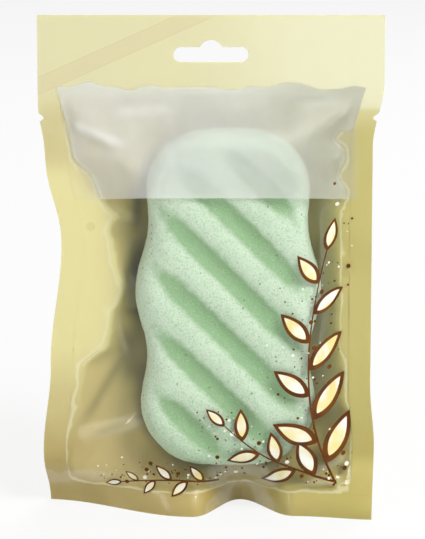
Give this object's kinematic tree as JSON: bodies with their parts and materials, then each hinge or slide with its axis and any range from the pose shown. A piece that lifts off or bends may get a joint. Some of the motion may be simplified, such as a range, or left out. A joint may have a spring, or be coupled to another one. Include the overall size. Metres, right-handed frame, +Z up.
{
  "type": "packaged konjac sponge",
  "caption": "Moist wave-shaped konjac body sponge with slanting grooves, loose inside a heat-sealed hanging pouch with a clear front film, a cream back film, a hang slot and tear notches.",
  "frame": {"origin": "on the standing plane, under the middle of the pouch's bounding box", "axes": "+Z up to the header with the hang slot, +X to the right as seen from the front, the clear front looks towards -Y"},
  "size_m": [0.125, 0.0282, 0.185],
  "materials": {
    "sponge": "moist fine-pored konjac foam, pale green with darker specks",
    "clear_film": "clear glossy laminate film, softly creased, with a milky band",
    "cream_film": "satin cream film, darker towards the foot",
    "seal": "melted inner ply of the film, ribbed by the sealing jaws"
  },
  "bodies": {
    "pouch": {"front_film": "clear_film", "back_film": "cream_film", "header_seal": "seal", "bottom_seal": "seal", "left_seal": "seal", "right_seal": "seal"},
    "sponge": {"sponge": "sponge"}
  },
  "joints": [
    {"name": "sponge_slide", "type": "slide", "parent": "pouch", "child": "sponge", "axis": [0, 0, 1], "range_m": [0, 0.005]}
  ]
}
